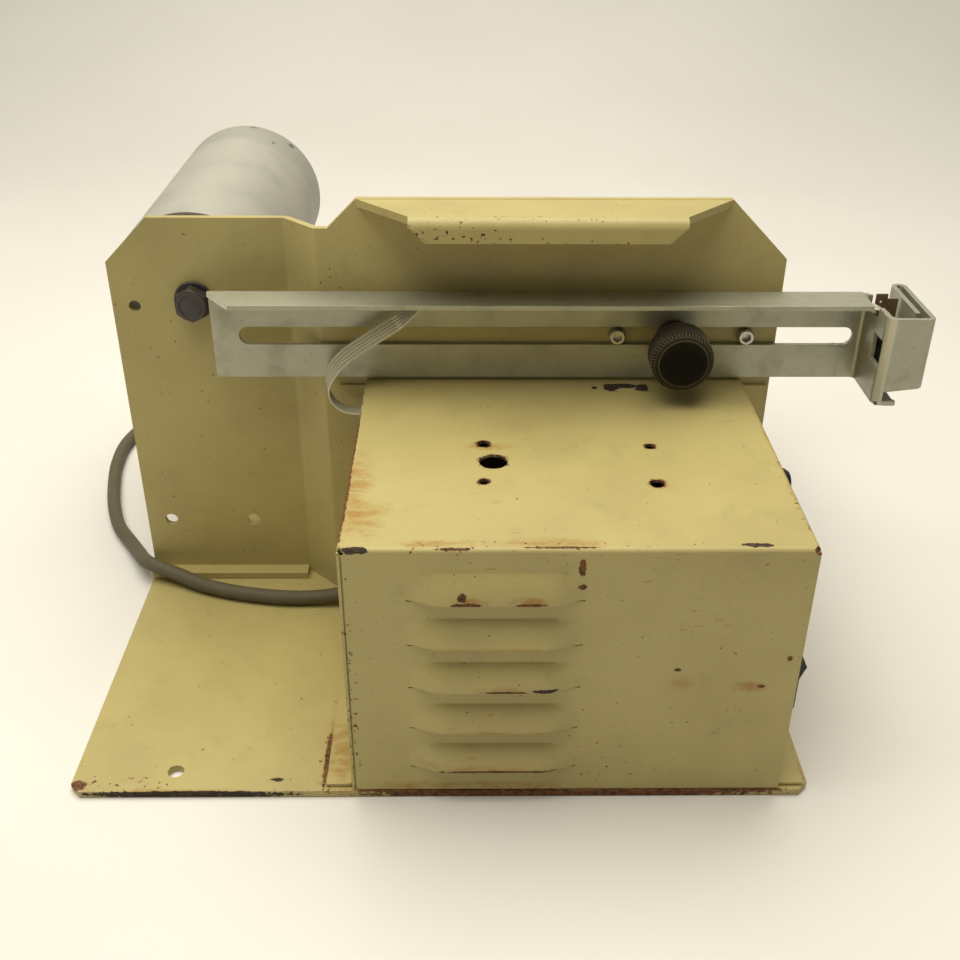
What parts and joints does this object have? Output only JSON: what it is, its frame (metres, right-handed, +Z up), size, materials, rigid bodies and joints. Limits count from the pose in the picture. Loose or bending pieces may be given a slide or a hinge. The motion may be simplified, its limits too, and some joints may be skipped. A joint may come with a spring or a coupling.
{
  "type": "electric label dispenser",
  "caption": "Bench-top electric label dispenser: motor housing, label drum, peel deck and a slotted sensor arm clamped by a knurled knob.",
  "frame": {"origin": "the middle of the base plate's underside, on the bench", "axes": "+X along the slotted arm towards the sensor head, +Y from the motor housing towards the label drum, +Z up"},
  "size_m": [0.3848, 0.3289, 0.19],
  "materials": {
    "cream_paint": "satin enamel over folded steel sheet, chipped and rusted along the edges",
    "arm_alloy": "bare aluminium sheet, dull and stained, with sheared edges",
    "drum_aluminium": "matte machined tube",
    "roller_aluminium": "turned core",
    "dark_steel": "blackened steel, slightly rusted",
    "bright_steel": "ground and plated steel",
    "zinc_steel": "dull zinc-plated steel",
    "knob_plastic": "black moulded phenolic with a knurled rim",
    "black_plastic": "black moulded plastic",
    "cord_vinyl": "grey-brown vinyl",
    "ribbon_vinyl": "flat cable with ridged conductors",
    "roller_rubber": "matte black rubber",
    "white_nylon": "off-white nylon",
    "brass": "machined brass",
    "phenolic_board": "brown phenolic circuit board",
    "green_board": "green glass-epoxy circuit board",
    "copper_coil": "varnished copper winding with a tape wrap",
    "red_filter": "dark red infrared window"
  },
  "bodies": {
    "frame": {"base_plate": "cream_paint", "cover_screw_left": "bright_steel", "cover_screw_right": "bright_steel", "upright_bracket": "cream_paint", "housing_cover": "cream_paint", "drum_axle_bolt": "dark_steel", "drum_washer_front": "zinc_steel", "drum_washer_back": "zinc_steel", "drum_axle_nut": "zinc_steel", "guide_screw_left": "bright_steel", "guide_screw_right": "bright_steel", "clamp_nut": "zinc_steel", "ribbon_loop": "ribbon_vinyl", "gearbox_case": "zinc_steel", "motor_can": "dark_steel", "gearmotor_screw_1": "bright_steel", "gearmotor_screw_2": "bright_steel", "gearmotor_screw_3": "bright_steel", "gearmotor_screw_4": "bright_steel", "shaft_bushing": "brass", "pressure_pivot_rod": "bright_steel", "pressure_collar": "zinc_steel", "pressure_spring": "bright_steel", "spring_post": "zinc_steel", "peel_deck": "bright_steel", "deck_screw_left": "bright_steel", "deck_screw_right": "bright_steel", "web_guide_rod": "bright_steel", "switch_body": "black_plastic", "fuse_holder_body": "black_plastic", "fuse_holder_cap": "black_plastic", "cord_strain_relief": "black_plastic", "power_cord": "cord_vinyl", "plug_body": "cord_vinyl", "plug_insert": "brass", "board_tray": "zinc_steel", "control_board": "green_board", "control_relay": "white_nylon", "terminal_block": "black_plastic", "transformer_core": "dark_steel", "transformer_coil": "copper_coil"},
    "arm": {"sensor_arm": "arm_alloy", "sensor_board": "phenolic_board", "sensor_body": "black_plastic", "sensor_can": "brass", "sensor_window": "red_filter", "ribbon_on_arm": "ribbon_vinyl"},
    "knob": {"clamp_knob": "knob_plastic", "clamp_stud": "bright_steel"},
    "drum": {"drum_tube": "drum_aluminium", "drum_hub_near": "white_nylon", "drum_hub_far": "white_nylon"},
    "drive": {"drive_shaft": "bright_steel", "drive_roller_core": "roller_aluminium", "drive_roller_sleeve": "roller_rubber"},
    "pressure_lever": {"pressure_lever": "zinc_steel", "pressure_roller_axle": "bright_steel"},
    "pressure_roller": {"pressure_roller": "roller_rubber"},
    "rocker": {"switch_rocker": "black_plastic"}
  },
  "joints": [
    {"name": "arm_slide", "type": "slide", "parent": "frame", "child": "arm", "axis": [1, 0, 0], "range_m": [-0.0408, 0.1532], "deforming": ["ribbon_loop"]},
    {"name": "knob_turn", "type": "hinge", "parent": "frame", "child": "knob", "pos_m": [0.0962, 0, 0.1329], "axis": [0, 1, 0], "range_deg": [0, 360]},
    {"name": "drum_spin", "type": "hinge", "parent": "frame", "child": "drum", "pos_m": [-0.105, 0.0958, 0.1425], "axis": [0, 1, 0], "continuous": true},
    {"name": "drive_spin", "type": "hinge", "parent": "frame", "child": "drive", "pos_m": [0.062, 0.09, 0.07], "axis": [0, 1, 0], "continuous": true},
    {"name": "pressure_lever_swing", "type": "hinge", "parent": "frame", "child": "pressure_lever", "pos_m": [0.014, 0.09, 0.068], "axis": [0, 1, 0], "range_deg": [0, 25], "deforming": ["pressure_spring"]},
    {"name": "pressure_roller_spin", "type": "hinge", "parent": "pressure_lever", "child": "pressure_roller", "pos_m": [0.04609, 0.09, 0.05409], "axis": [0, 1, 0], "continuous": true},
    {"name": "rocker_tip", "type": "hinge", "parent": "frame", "child": "rocker", "pos_m": [0.1255, -0.1163, 0.05], "axis": [0, 1, 0], "range_deg": [-14, 0]}
  ],
  "couplings": [
    {"joint": "pressure_roller_spin", "follows": "drive_spin", "ratio": -1.3368}
  ]
}
